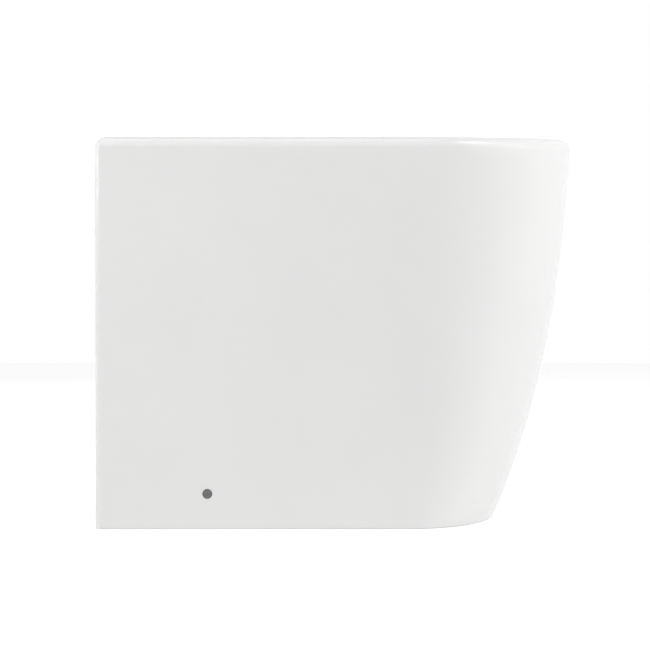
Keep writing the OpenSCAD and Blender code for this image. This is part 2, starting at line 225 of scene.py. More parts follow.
class HoleSizes(bpy.types.PropertyGroup):
    """Sizes of the back opening and the fixing holes."""

    window_height: length("Window height", "Height of the opening in the back", 262 * MM)
    window_flange: length("Window flange", "Width of the back on either side", 36 * MM)
    window_corner: length("Window corner", "Radius of the back opening's upper corners", 40 * MM)
    side_hole: length("Side hole", "Diameter of the side fixing holes", 10 * MM)
    side_hole_edge: length("Side hole edge", "Radius of the glaze round a side hole", 0.7 * MM)
    seat_hole_edge: length("Seat hole edge", "Radius of the glaze round a seat hole", 1.2 * MM)
    spigot_edge: length("Spigot edge", "Radius of the edges at the spigot's end", 1 * MM)
    inlet_edge: length("Inlet edge", "Radius of the edge round the inlet's counterbore", 1 * MM)
    window_edge: length("Window edge", "Radius of the edge round the back opening", 1.5 * MM)


class Finishes(bpy.types.PropertyGroup):
    """Colours of the object's own surfaces."""

    glaze: colour("Glaze", "White sanitary glaze", (0.83, 0.83, 0.825))
    glaze_roughness: FloatProperty(
        name="Glaze roughness", description="Roughness of the glaze", default=0.09, min=0, max=1
    )
    bare: colour("Bare clay", "Fired clay without glaze", (0.72, 0.69, 0.64))
    nylon: colour("Nylon", "Natural white nylon", (0.74, 0.73, 0.69))
    zinc: colour("Zinc", "Bright zinc plating", (0.60, 0.61, 0.63))
    cap: colour("Cap grey", "Grey plastic of the cover caps", (0.15, 0.15, 0.153))
    rubber: colour("Rubber", "Black rubber of the seal", (0.022, 0.022, 0.022))


class Studio(bpy.types.PropertyGroup):
    """The camera, the lamps and the floor."""

    distance: length("Distance", "Camera to the object's centre plane", 3.618)
    eye_height: length("Eye height", "Height of the camera above the floor", 309 * MM)
    offset: FloatProperty(
        name="Offset", description="Camera's place along the object", default=-13.7 * MM,
        unit="LENGTH",
    )
    pitch: angle("Pitch", "Downward tilt of the camera", 1.682)
    lens: FloatProperty(name="Lens", description="Focal length in mm", default=187.5, min=20)
    ambient: FloatProperty(
        name="Ambient", description="Strength of the room's own light", default=0.2, min=0
    )
    left_power: watts("Left power", "Softbox on the left", 19.1)
    right_power: watts("Right power", "Large softbox level with the object's right end", 29.6)
    front_power: watts("Front power", "Large softbox before the object's right end", 14)
    high_power: watts("High power", "Round softbox above the object's right end", 9)
    top_power: watts("Top power", "Overhead softbox", 11.9)
    fill_power: watts("Fill power", "Large softbox behind the camera", 14.1)
    rear_power: watts("Rear power", "Softbox behind the object", 15)
    floor: colour("Floor", "Pale floor", (0.9, 0.9, 0.9))


# ---------- modelling by hand ----------


def only(*objects):
    """Selects these objects and makes the first one active."""
    bpy.ops.object.select_all(action="DESELECT")
    for item in objects:
        item.select_set(True)
    bpy.context.view_layer.objects.active = objects[0]


def edit(item):
    """Opens the item for editing."""
    only(item)
    bpy.ops.object.mode_set(mode="EDIT")


def edit_all(item):
    """Opens the item for editing with all of it selected."""
    edit(item)
    bpy.ops.mesh.select_all(action="SELECT")


def leave():
    """Goes back to object mode."""
    bpy.ops.object.mode_set(mode="OBJECT")


def pick(kind, test):
    """In edit mode, selects the elements of one kind that pass the test, and nothing else."""
    bpy.ops.mesh.select_mode(type=kind)
    bpy.ops.mesh.select_all(action="DESELECT")
    data = bpy.context.object.data
    mesh = bmesh.from_edit_mesh(data)
    count = 0
    for part in {"VERT": mesh.verts, "EDGE": mesh.edges, "FACE": mesh.faces}[kind]:
        if test(part):
            part.select_set(True)
            count += 1
    bmesh.update_edit_mesh(data)
    if not count:
        raise RuntimeError(f"nothing to pick on {bpy.context.object.name}")


def middle(edge):
    """The point halfway along an edge."""
    return (edge.verts[0].co + edge.verts[1].co) / 2


def near(a, b):
    """Whether two lengths agree within the slack."""
    return abs(a - b) < SLACK


def move(x=0.0, y=0.0, z=0.0):
    """Moves what is picked."""
    bpy.ops.transform.translate(value=(x, y, z))


def scale(factors, centre):
    """Scales what is picked about a point."""
    bpy.ops.transform.resize(value=factors, center_override=centre)


def extrude(x=0.0, y=0.0, z=0.0):
    """Extrudes the picked faces along the axes."""
    bpy.ops.mesh.extrude_region_move(TRANSFORM_OT_translate={"value": (x, y, z)})


def new_piece(name):
    """Names the primitive just added and puts its place and turn into its mesh."""
    bpy.ops.object.transform_apply(location=True, rotation=True, scale=True)
    item = bpy.context.object
    item.name = item.data.name = name
    return item


def corner(radius, segments, test):
    """Rounds the flat outline's corners that pass the test."""
    pick("VERT", test)
    bpy.ops.mesh.bevel(
        offset_type="OFFSET", offset=radius, segments=segments, profile=0.5,
        affect="VERTICES", clamp_overlap=False,
    )


def add_outline(name, back, front, half, z, front_radius, back_radius):
    """A flat outline with two pairs of round corners, left in edit mode and all selected."""
    bpy.ops.object.select_all(action="DESELECT")
    bpy.ops.mesh.primitive_plane_add(size=2, location=(0, 0, 0))
    item = new_piece(name)
    edit_all(item)
    scale(((front - back) / 2, half, 1), (0, 0, 0))
    move((front + back) / 2, 0, z)
    corner(front_radius, FRONT_SEGMENTS, lambda v: v.co.x > front - SLACK)
    if back_radius:
        corner(back_radius, CORNER_SEGMENTS, lambda v: v.co.x < back + SLACK)
    bpy.ops.mesh.select_all(action="SELECT")
    bpy.ops.mesh.remove_doubles(threshold=DOUBLED)
    pick("EDGE", lambda e: e.calc_length() > LONG_EDGE)
    bpy.ops.mesh.subdivide(number_cuts=LONG_EDGE_CUTS)
    bpy.ops.mesh.select_all(action="SELECT")
    return item


def clean(item):
    """Merges doubled points and turns the faces outwards."""
    edit_all(item)
    bpy.ops.mesh.remove_doubles(threshold=DOUBLED)
    bpy.ops.mesh.normals_make_consistent(inside=False)
    leave()


def apply_modifier(item, kind, **settings):
    """Adds a modifier with these settings and applies it."""
    only(item)
    bpy.ops.object.modifier_add(type=kind)
    modifier = item.modifiers[-1]
    for key, value in settings.items():
        setattr(modifier, key, value)
    bpy.ops.object.modifier_apply(modifier=modifier.name)


def combine(item, other, operation):
    """Adds the other solid to the item or cuts it away, and deletes the other."""
    apply_modifier(item, "BOOLEAN", operation=operation, solver="MANIFOLD", object=other)
    mesh = other.data
    bpy.data.objects.remove(other)
    bpy.data.meshes.remove(mesh)


def set_finish(item, index):
    """Gives every face of a working solid one of the two ceramic finishes."""
    for material in ceramic_finishes():
        item.data.materials.append(material)
    edit_all(item)
    item.active_material_index = index
    bpy.ops.object.material_slot_assign()
    leave()


def rod(name, radius, start, run, finish):
    """A round rod from start along the run, one of the three axes."""
    bpy.ops.object.select_all(action="DESELECT")
    turn = {0: (0, pi / 2, 0), 1: (pi / 2, 0, 0), 2: (0, 0, 0)}[
        max(range(3), key=lambda i: abs(run[i]))
    ]
    centre = [a + b / 2 for a, b in zip(start, run)]
    bpy.ops.mesh.primitive_cylinder_add(
        vertices=ROD_SIDES, radius=radius, depth=Vector(run).length, location=centre, rotation=turn
    )
    item = new_piece(name)
    clean(item)
    set_finish(item, finish)
    return item


def smooth(item):
    """Shades the rounded parts smoothly and keeps the large flat faces flat."""
    only(item)
    bpy.ops.object.shade_smooth_by_angle(angle=SMOOTH)
    apply_modifier(item, "WEIGHTED_NORMAL", weight=80, keep_sharp=True)


# ---------- the casting ----------


def front_curve(sizes, z):
    """Setback of the front at height z on a smooth curve from the rim's lean to the foot's."""
    u = 1 - z / sizes.height
    m0 = sizes.height * tan(sizes.rim_lean)
    m1 = sizes.height * tan(sizes.foot_lean)
    return (
        m0 * (u**3 - 2 * u**2 + u)
        + sizes.foot_setback * (3 * u**2 - 2 * u**3)
        + m1 * (u**3 - u**2)
    )


def front_setback(sizes, z):
    """Setback of the body's front at height z, upright over the rim's own depth."""
    upright = front_curve(sizes, sizes.height - sizes.wall - EASE)
    return max(front_curve(sizes, z) - upright, 0)


def margin(point, sizes, setback=0):
    """How far inside the body's outline a point lies, seen from above."""
    half = sizes.width / 2
    ahead = max(point.x - PAN_HIGH.x + half, 0) * half / (half - setback)
    return min(half - hypot(ahead, point.y), point.x - PAN_LOW.x)


def pan_skin(sizes):
    """The body's outside: the rim's outline extruded down to the floor, drawn in at the front."""
    half = sizes.width / 2
    start = PAN_HIGH.x - half
    item = add_outline("glazed_pan", PAN_LOW.x, PAN_HIGH.x, half, sizes.height, half, 0)
    top = sizes.height - sizes.wall - EASE
    step = (top - LOWEST_RING) / BODY_LEVELS
    heights = [top - step * i for i in range(BODY_LEVELS + 1)] + [0]
    reach, last = half, sizes.height
    for z in heights:
        bpy.ops.mesh.extrude_edges_move(TRANSFORM_OT_translate={"value": (0, 0, z - last)})
        drawn_in = half - front_setback(sizes, z)
        pick("VERT", lambda v: v.co.z < z + SLACK and v.co.x > start + SLACK)
        scale((drawn_in / reach, 1, 1), (start, 0, z))
        pick("EDGE", lambda e: middle(e).z < z + SLACK)
        reach, last = drawn_in, z
    pick("FACE", lambda f: f.calc_center_median().z > sizes.height - SLACK)
    bpy.ops.mesh.inset(thickness=sizes.wall + EASE)
    bpy.ops.mesh.delete(type="ONLY_FACE")
    leave()
    return item


def pan_bowl(sizes):
    """The bowl's hollow: the rim's opening taken down to the flush shelf, the bowl and the sump."""
    ring = sizes.wall + EASE
    half = sizes.width / 2 - sizes.rim_width
    back = PAN_LOW.x + sizes.deck_depth
    front = PAN_HIGH.x - sizes.rim_width
    item = add_outline(
        "bowl", back - ring, front + ring, half + ring, sizes.height,
        half + ring, sizes.opening_corner + ring,
    )
    pick("FACE", lambda f: True)
    bpy.ops.mesh.inset(thickness=ring)
    extrude(z=-ring)
    extrude(z=2 * ring - sizes.shelf_drop)
    extrude(z=-ring)
    bpy.ops.mesh.inset(thickness=sizes.shelf_width)
    move(z=-sizes.shelf_fall)
    z = sizes.height - sizes.shelf_drop - sizes.shelf_fall
    shelf = [(back + front) / 2, (front - back) / 2 - sizes.shelf_width, half - sizes.shelf_width]
    sump_middle = PAN_LOW.x + sizes.sump_back + sizes.sump_length / 2
    mouth = [sump_middle, sizes.sump_length / 2, sizes.sump_width / 2]
    floor = [sump_middle, mouth[1] - sizes.sump_draw, mouth[2] - sizes.sump_draw]
    turn = sizes.bowl_turn
    stages = []
    for i in range(1, BOWL_STEPS + 1):
        a = turn * i / BOWL_STEPS
        t = (1 - cos(a)) / (1 - cos(turn))
        fall = (z - sizes.water_height) * sin(a) / sin(turn)
        stages.append((shelf, mouth, t, z - fall))
    for i in range(1, BOWL_STEPS + 1):
        a = pi / 2 * i / BOWL_STEPS
        fall = (sizes.water_height - sizes.sump_floor) * sin(a)
        stages.append((mouth, floor, 1 - cos(a), sizes.water_height - fall))
    now = shelf
    for first, second, t, level in stages:
        goal = [a + (b - a) * t for a, b in zip(first, second)]
        extrude(x=goal[0] - now[0], z=level - z)
        centre = (goal[0], 0, level)
        scale((goal[1] / now[1], goal[2] / now[2], 1), centre)
        if first is shelf and t > ROUND_FROM:
            rounded_ring(goal, centre)
        now, z = goal, level
    leave()
    return item


def rounded_ring(size, centre):
    """Takes some of the squareness out of the picked face's outline and keeps its size."""
    scale((size[2] / size[1], 1, 1), centre)
    bpy.ops.transform.tosphere(value=ROUNDNESS, center_override=centre)
    points = [v.co for v in bmesh.from_edit_mesh(bpy.context.object.data).verts if v.select]
    reach_x = (max(p.x for p in points) - min(p.x for p in points)) / 2
    reach_y = max(p.y for p in points)
    scale((size[1] / reach_x, size[2] / reach_y, 1), centre)
    points = [v.co for v in bmesh.from_edit_mesh(bpy.context.object.data).verts if v.select]
    move(x=centre[0] - (max(p.x for p in points) + min(p.x for p in points)) / 2)


def bowl_plug(bowl, sizes):
    """The bowl's hollow as a solid, a third of the wall larger, to trim what joins the wall."""
    only(bowl)
    bpy.ops.object.duplicate()
    plug = bpy.context.object
    edit(plug)
    pick("FACE", lambda f: all(v.co.z > sizes.height - SLACK for v in f.verts))
    bpy.ops.mesh.delete(type="FACE")
    pick("EDGE", lambda e: e.is_boundary)
    bpy.ops.mesh.edge_face_add()
    leave()
    clean(plug)
    edit_all(plug)
    bpy.ops.transform.shrink_fatten(value=sizes.wall / 3, use_even_offset=True)
    leave()
    set_finish(plug, BARE)
    return plug


def rounded_loops(sizes):
    """Sharp loops of the thick casting, each with its radius, as tests on an edge."""
    def sharp(edge, least=SHARP):
        return len(edge.link_faces) == 2 and edge.calc_face_angle() > least

    def level(edge, z):
        return all(near(v.co.z, z) for v in edge.verts)

    def outer(edge):
        return all(margin(v.co, sizes) < MM / 2 for v in edge.verts)

    def inner(edge):
        return all(margin(v.co, sizes) > sizes.rim_width - MM for v in edge.verts)

    def upright(edge):
        return all(
            v.co.x < PAN_LOW.x + SLACK and abs(v.co.y) > sizes.width / 2 - SLACK
            for v in edge.verts
        ) and not level(edge, sizes.height) and not level(edge, 0)

    def foot(edge):
        outside = all(margin(v.co, sizes, sizes.foot_setback) < MM for v in edge.verts)
        return sharp(edge) and level(edge, 0) and outside

    shelf = sizes.height - sizes.shelf_drop
    return (
        (sizes.rim_edge, lambda e: sharp(e) and level(e, sizes.height) and outer(e)),
        (sizes.back_corner, upright),
        (sizes.foot_edge, foot),
        (sizes.lip_edge, lambda e: sharp(e) and level(e, sizes.height) and inner(e)),
        (sizes.shelf_edge, lambda e: sharp(e) and level(e, shelf) and inner(e)),
        (sizes.bowl_edge, lambda e: sharp(e) and level(e, shelf - sizes.shelf_fall) and inner(e)),
        (sizes.sump_edge,
         lambda e: sharp(e, SUMP_SHARP) and level(e, sizes.water_height) and inner(e)),
    )


def thicken(item, sizes):
    """Gives the skin its wall and flattens the foot."""
    apply_modifier(
        item, "SOLIDIFY", thickness=sizes.wall, offset=-1, use_even_offset=True,
        use_quality_normals=True, material_offset=BARE, material_offset_rim=BARE,
    )
    edit(item)
    pick("VERT", lambda v: v.co.z < FOOT_TOP)
    scale((1, 1, 0), (0, 0, 0))
    leave()


def round_edges(item, sizes):
    """Rounds every sharp loop of the casting by its own radius in one bevel."""
    loops = rounded_loops(sizes)
    widest = max(radius for radius, _ in loops)
    edit(item)
    for radius, test in loops:
        pick("EDGE", test)
        bpy.ops.transform.edge_bevelweight(value=radius / widest)
    leave()
    apply_modifier(
        item, "BEVEL", limit_method="WEIGHT", width=widest, segments=EDGE_SEGMENTS,
        profile=0.5, use_clamp_overlap=False, miter_outer="MITER_SHARP",
    )


def trap_rod(name, radius, trap, sizes, past, finish):
    """A round rod along the trap, out of the sump and up over the weir, with the weir's place."""
    low = sizes.sump_floor + trap.bore / 2
    high = sizes.water_height + trap.bore / 2
    bends = trap.lower_bend + trap.upper_bend
    riser = (high - low - bends * (1 - cos(trap.rise))) / sin(trap.rise)
    turn_x = PAN_LOW.x + sizes.sump_back - trap.wall / 2
    start_x = PAN_LOW.x + sizes.sump_back + sizes.sump_length / 3
    bpy.ops.object.select_all(action="DESELECT")
    bpy.ops.mesh.primitive_circle_add(
        vertices=TRAP_SIDES, radius=radius, fill_type="NGON", location=(start_x, 0, low),
        rotation=(0, pi / 2, 0),
    )
    item = new_piece(name)
    edit_all(item)
    extrude(x=turn_x - start_x)
    spin_face((turn_x, 0, low + trap.lower_bend), trap.rise)
    extrude(x=-riser * cos(trap.rise), z=riser * sin(trap.rise))
    weir_x = turn_x - bends * sin(trap.rise) - riser * cos(trap.rise)
    spin_face((weir_x, 0, high - trap.upper_bend), -trap.rise)
    extrude(x=-past)
    leave()
    clean(item)
    set_finish(item, finish)
    return item, weir_x, high


def spin_face(centre, turn):
    """Extrudes the picked end face round a bend in the pan's middle plane."""
    bpy.ops.mesh.spin(steps=BEND_STEPS, angle=turn, center=centre, axis=(0, -1, 0))


def outlet_rod(trap, weir_x):
    """The waste spigot with its shoulder, flaring in to the trap's top."""
    end, root = OUTLET_X - OUTLET_HALF, OUTLET_X + OUTLET_HALF
    neck = trap.bore / 2 + trap.wall
    full = OUTLET_RADIUS + trap.shoulder
    bpy.ops.object.select_all(action="DESELECT")
    bpy.ops.mesh.primitive_circle_add(
        vertices=SPIGOT_SIDES, radius=neck, fill_type="NGON", rotation=(0, pi / 2, 0),
        location=(weir_x + FLARE_START, 0, OUTLET_Z + FLARE_FALL),
    )
    item = new_piece("outlet_rod")
    edit_all(item)
    last = neck
    for i in range(1, FLARE_STEPS + 1):
        grown = neck + (OUTLET_RADIUS - neck) * sin(pi / 2 * i / FLARE_STEPS)
        extrude(x=(FLARE_END - FLARE_START) / FLARE_STEPS, z=-FLARE_FALL / FLARE_STEPS)
        level = OUTLET_Z + FLARE_FALL * (1 - i / FLARE_STEPS)
        scale((1, grown / last, grown / last), (0, 0, level))
        last = grown
    extrude(x=root + SHOULDER_LENGTH - weir_x - FLARE_END)
    scale((1, full / last, full / last), (0, 0, OUTLET_Z))
    extrude(x=-SHOULDER_LENGTH)
    bpy.ops.mesh.inset(thickness=trap.shoulder)
    extrude(x=end - root)
    leave()
    clean(item)
    set_finish(item, GLAZED)
    return item


def box(name, low, high, finish):
    """A block between two corners."""
    bpy.ops.object.select_all(action="DESELECT")
    bpy.ops.mesh.primitive_cube_add(size=2, location=(0, 0, 0))
    item = new_piece(name)
    edit_all(item)
    scale([(b - a) / 2 for a, b in zip(low, high)], (0, 0, 0))
    move(*[(a + b) / 2 for a, b in zip(low, high)])
    leave()
    set_finish(item, finish)
    return item


def upright_slab(name, half, low, high, x, depth, radius, test, finish):
    """A slab across the pan, from x forwards, its corners that pass the test rounded."""
    bpy.ops.object.select_all(action="DESELECT")
    bpy.ops.mesh.primitive_plane_add(size=2, location=(0, 0, 0), rotation=(0, pi / 2, 0))
    item = new_piece(name)
    edit_all(item)
    scale((1, half, (high - low) / 2), (0, 0, 0))
    move(x, 0, (high + low) / 2)
    corner(radius, CORNER_SEGMENTS, test)
    bpy.ops.mesh.select_all(action="SELECT")
    bpy.ops.mesh.remove_doubles(threshold=DOUBLED)
    bpy.ops.mesh.select_all(action="SELECT")
    extrude(x=depth)
    leave()
    clean(item)
    set_finish(item, finish)
    return item


def joined_solids(trap, sizes, plug):
    """The solids that are cast onto the shell, trimmed where they meet the bowl's wall."""
    rod_radius = trap.bore / 2 + trap.wall
    tube, weir_x, high = trap_rod("trap_tube", rod_radius, trap, sizes, 0, BARE)
    half = rod_radius - trap.wall / 2
    web = box(
        "web", (PAN_LOW.x + sizes.sump_back - trap.bore, -half, sizes.sump_floor + trap.bore),
        (PAN_LOW.x + sizes.sump_back, half, high), BARE,
    )
    horn = rod(
        "horn", trap.inlet_bore / 2 + trap.inlet_wall, (PAN_LOW.x + sizes.wall / 2, 0, INLET_Z),
        (sizes.deck_depth + sizes.shelf_width - sizes.wall / 2, 0, 0), BARE,
    )
    combine(tube, outlet_rod(trap, weir_x), "UNION")
    combine(tube, web, "UNION")
    combine(tube, horn, "UNION")
    combine(tube, plug, "DIFFERENCE")
    return tube, weir_x


def cutters(trap, sizes, holes, weir_x):
    """Everything that is cut out of the casting."""
    yield trap_rod("trap_bore", trap.bore / 2, trap, sizes, BORE_PAST_WEIR, GLAZED)[0]
    outlet_end = OUTLET_X - OUTLET_HALF
    yield rod(
        "outlet_bore", trap.outlet_bore / 2, (outlet_end - OVER, 0, OUTLET_Z),
        (weir_x + MM - outlet_end + OVER, 0, 0), GLAZED,
    )
    yield rod(
        "inlet_bore", trap.inlet_bore / 2, (PAN_LOW.x - OVER, 0, INLET_Z),
        (trap.inlet_depth + OVER, 0, 0), GLAZED,
    )
    yield rod(
        "inlet_seat", trap.inlet_seat / 2, (PAN_LOW.x - OVER, 0, INLET_Z),
        (trap.inlet_seat_depth + OVER, 0, 0), GLAZED,
    )
    shelf = sizes.height - sizes.shelf_drop
    slot_x = PAN_LOW.x + trap.inlet_depth - trap.slot_height
    yield upright_slab(
        "flush_slot", trap.slot_width / 2, shelf, shelf + trap.slot_height, slot_x,
        PAN_LOW.x + sizes.deck_depth + OVER - slot_x, trap.slot_height / 2, lambda v: True, GLAZED,
    )
    through = sizes.wall + 2 * OVER
    yield upright_slab(
        "window", sizes.width / 2 - holes.window_flange, WINDOW_LOW, holes.window_height,
        PAN_LOW.x - OVER, through, holes.window_corner, lambda v: v.co.z > 0, GLAZED,
    )
    for side in (-1, 1):
        yield rod(
            "seat_hole", SEAT_HOLE_RADIUS,
            (SEAT_HOLE_X, side * SEAT_HOLE_Y, sizes.height - sizes.wall - OVER),
            (0, 0, through), GLAZED,
        )
        yield rod(
            "side_hole", holes.side_hole / 2,
            (CAP_MIDDLE.x, side * (sizes.width / 2 - sizes.wall - OVER), CAP_MIDDLE.z),
            (0, side * through, 0), GLAZED,
        )


def soften(item, radius, plane, mouth):
    """Rounds the sharp edges of a mouth in a flat face. Both tests take a point."""
    def at_mouth(edge):
        on_it = all(plane(v.co) and mouth(v.co) for v in edge.verts)
        return on_it and edge.calc_face_angle(0) > CREASE

    edit(item)
    pick("FACE", lambda f: all(plane(v.co) for v in f.verts))
    bpy.ops.mesh.dissolve_limited(angle_limit=FLAT)
    pick("EDGE", at_mouth)
    bpy.ops.mesh.bevel(
        offset=radius, segments=MOUTH_SEGMENTS, affect="EDGES", clamp_overlap=False
    )
    leave()


def soften_holes(item, sizes, trap, holes):
    """Rounds the mouths of the holes, the spigot and the back opening."""
    half = sizes.width / 2
    jamb = half - holes.window_flange + SLACK
    lintel = holes.window_height + SLACK
    soften(
        item, holes.seat_hole_edge, lambda p: near(p.z, sizes.height),
        lambda p: near(hypot(p.x - SEAT_HOLE_X, abs(p.y) - SEAT_HOLE_Y), SEAT_HOLE_RADIUS),
    )
    for y in (-half, half):
        soften(
            item, holes.side_hole_edge, lambda p: near(p.y, y),
            lambda p: near(hypot(p.x - CAP_MIDDLE.x, p.z - CAP_MIDDLE.z), holes.side_hole / 2),
        )
    soften(
        item, holes.spigot_edge, lambda p: near(p.x, OUTLET_X - OUTLET_HALF),
        lambda p: hypot(p.y, p.z - OUTLET_Z) > trap.outlet_bore / 2 - SLACK,
    )
    soften(
        item, holes.inlet_edge, lambda p: near(p.x, PAN_LOW.x),
        lambda p: near(hypot(p.y, p.z - INLET_Z), trap.inlet_seat / 2),
    )
    soften(
        item, holes.window_edge, lambda p: near(p.x, PAN_LOW.x),
        lambda p: p.z < lintel and abs(p.y) < jamb,
    )


class TOILET_OT_add_pan(bpy.types.Operator):
    """Models the glazed casting over the solid pan"""

    bl_idname = "toilet.add_pan"
    bl_label = "Add pan"

    def execute(self, context):
        sizes, trap = context.scene.pan_sizes, context.scene.trap_sizes
        holes = context.scene.hole_sizes
        skin = pan_skin(sizes)
        bowl = pan_bowl(sizes)
        plug = bowl_plug(bowl, sizes)
        only(skin, bowl)
        bpy.ops.object.join()
        edit(skin)
        pick("EDGE", lambda e: e.is_boundary and middle(e).z > sizes.height - SLACK)
        bpy.ops.mesh.bridge_edge_loops()
        leave()
        clean(skin)
        for material in ceramic_finishes():
            skin.data.materials.append(material)
        thicken(skin, sizes)
        round_edges(skin, sizes)
        cast_on, weir_x = joined_solids(trap, sizes, plug)
        combine(skin, cast_on, "UNION")
        for cutter in cutters(trap, sizes, holes, weir_x):
            combine(skin, cutter, "DIFFERENCE")
        clean(skin)
        soften_holes(skin, sizes, trap, holes)
        smooth(skin)
        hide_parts("pan")
        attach(skin, "pan_body")
        return {"FINISHED"}


# ---------- materials ----------


def material_with(name):
    """A new node material and its shader."""
    material = bpy.data.materials.new(name)
    material.use_nodes = True
    return material, material.node_tree.nodes["Principled BSDF"]


def link(tree, source, output, target, socket):
    """Joins one node's output to another's input."""
    tree.links.new(source.outputs[output], target.inputs[socket])


def noise(tree, size, detail=2.0, stretch=(1, 1, 1)):
    """A noise pattern whose blotches are about size metres across."""
    place = tree.nodes.new("ShaderNodeTexCoord")
    mapping = tree.nodes.new("ShaderNodeMapping")
    mapping.inputs["Scale"].default_value = stretch
    pattern = tree.nodes.new("ShaderNodeTexNoise")
    pattern.inputs["Scale"].default_value = 1 / size
    pattern.inputs["Detail"].default_value = detail
    link(tree, place, "Object", mapping, "Vector")
    link(tree, mapping, "Vector", pattern, "Vector")
    return pattern


def vary_colour(tree, shader, base, spread, pattern):
    """The base colour, a little darker and lighter with the pattern."""
    ramp = tree.nodes.new("ShaderNodeValToRGB")
    ramp.color_ramp.elements[0].position = 0.3
    ramp.color_ramp.elements[1].position = 0.7
    ramp.color_ramp.elements[0].color = [c * (1 - spread) for c in base] + [1]
    ramp.color_ramp.elements[1].color = [min(c * (1 + spread), 1) for c in base] + [1]
    link(tree, pattern, "Fac", ramp, "Fac")
    link(tree, ramp, "Color", shader, "Base Color")


def vary_roughness(tree, shader, low, high, pattern):
    """Roughness between low and high with the pattern."""
    spread = tree.nodes.new("ShaderNodeMapRange")
    spread.inputs["To Min"].default_value = low
    spread.inputs["To Max"].default_value = high
    link(tree, pattern, "Fac", spread, "Value")
    link(tree, spread, "Result", shader, "Roughness")


def bump(tree, shader, pattern, depth, before=None):
    """Relief of a depth in metres, over an earlier bump if there is one."""
    node = tree.nodes.new("ShaderNodeBump")
    node.inputs["Strength"].default_value = 1
    node.inputs["Distance"].default_value = depth
    link(tree, pattern, "Fac", node, "Height")
    if before:
        link(tree, before, "Normal", node, "Normal")
    link(tree, node, "Normal", shader, "Normal")
    return node


def glaze_finish():
    """White sanitary glaze: deep gloss over a slightly wavy casting."""
    finishes = bpy.context.scene.finishes
    material, shader = material_with("white_glaze")
    tree = material.node_tree
    vary_colour(tree, shader, finishes.glaze, 0.006, noise(tree, 90 * MM))
    rough = finishes.glaze_roughness
    vary_roughness(tree, shader, rough * 0.7, rough * 1.3, noise(tree, 20 * MM, 4))
    waves = bump(tree, shader, noise(tree, 60 * MM, 1.5), 0.12 * MM)
    bump(tree, shader, noise(tree, 4 * MM, 2), 0.004 * MM, waves)
    shader.inputs["IOR"].default_value = 1.52
    return material


def bare_finish():
    """Fired clay where the glaze was wiped off or never sprayed."""
    material, shader = material_with("bare_clay")
    tree = material.node_tree
    vary_colour(tree, shader, bpy.context.scene.finishes.bare, 0.05, noise(tree, 30 * MM, 6))
    vary_roughness(tree, shader, 0.6, 0.85, noise(tree, 4 * MM, 4))
    bump(tree, shader, noise(tree, 1.6 * MM, 5), 0.08 * MM)
    return material


def ceramic_finishes():
    """The casting's two finishes, in the order of GLAZED and BARE."""
    made = {"white_glaze": glaze_finish, "bare_clay": bare_finish}
    return [bpy.data.materials.get(name) or make() for name, make in made.items()]


def nylon_finish():
    """Moulded natural nylon, faintly mottled."""
    material, shader = material_with("moulded_nylon")
    tree = material.node_tree
    vary_colour(tree, shader, bpy.context.scene.finishes.nylon, 0.03, noise(tree, 12 * MM, 4))
    vary_roughness(tree, shader, 0.38, 0.55, noise(tree, 3 * MM, 3))
    bump(tree, shader, noise(tree, 0.9 * MM, 3), 0.02 * MM)
    shader.inputs["Subsurface Weight"].default_value = 0.1
    shader.inputs["Subsurface Radius"].default_value = (2 * MM, 2 * MM, 1.5 * MM)
    return material


def zinc_finish():
    """Bright zinc plating with fine turning marks and cloudy passivation."""
    material, shader = material_with("zinc_plating")
    tree = material.node_tree
    vary_colour(tree, shader, bpy.context.scene.finishes.zinc, 0.08, noise(tree, 3 * MM, 5))
    vary_roughness(tree, shader, 0.22, 0.42, noise(tree, 0.8 * MM, 4, (1, 6, 1)))
    bump(tree, shader, noise(tree, 0.4 * MM, 2, (1, 8, 1)), 0.01 * MM)
    shader.inputs["Metallic"].default_value = 1
    return material


def cap_finish():
    """Fine-grained grey plastic."""
    material, shader = material_with("grey_cap_plastic")
    tree = material.node_tree
    vary_colour(tree, shader, bpy.context.scene.finishes.cap, 0.06, noise(tree, 2 * MM, 4))
    vary_roughness(tree, shader, 0.42, 0.58, noise(tree, 0.8 * MM, 3))
    bump(tree, shader, noise(tree, 0.4 * MM, 3), 0.015 * MM)
    return material


def rubber_finish():
    """Black rubber with a dusty bloom."""
    material, shader = material_with("black_rubber")
    tree = material.node_tree
    vary_colour(tree, shader, bpy.context.scene.finishes.rubber, 0.3, noise(tree, 8 * MM, 6))
    vary_roughness(tree, shader, 0.6, 0.8, noise(tree, 2 * MM, 4))
    bump(tree, shader, noise(tree, 0.7 * MM, 3), 0.03 * MM)
    return material


# ---------- the fixings ----------

# Each fixing's finish, its material slot and the radius of its edges.
FIXINGS = {
    "floor_bracket": ("moulded_nylon", "white_nylon", 0.6 * MM),
    "side_bush": ("moulded_nylon", "white_nylon", 0.2 * MM),
    "bracket_nut": ("zinc_plating", "zinc_plated_steel", 0.3 * MM),
    "side_screw": ("zinc_plating", "zinc_plated_steel", 0.2 * MM),
    "cover_cap": ("grey_cap_plastic", "grey_plastic", 0.4 * MM),
    "inlet_seal": ("black_rubber", "black_rubber", 0.3 * MM),
}


def softened_copy(node, radius):
    """A copy of a solid with its doubled points merged and its sharp edges rounded."""
    piece = bpy.data.objects.new("soft_" + node.name, node.data.copy())
    bpy.context.collection.objects.link(piece)
    edit_all(piece)
    bpy.ops.mesh.remove_doubles(threshold=DOUBLED / 10)
    bpy.ops.mesh.dissolve_limited(angle_limit=COPY_FLAT)
    bpy.ops.mesh.normals_make_consistent(inside=False)
    leave()
    apply_modifier(
        piece, "BEVEL", limit_method="ANGLE", angle_limit=CREASE, width=radius, segments=2,
        use_clamp_overlap=False,
    )
    smooth(piece)
    return piece


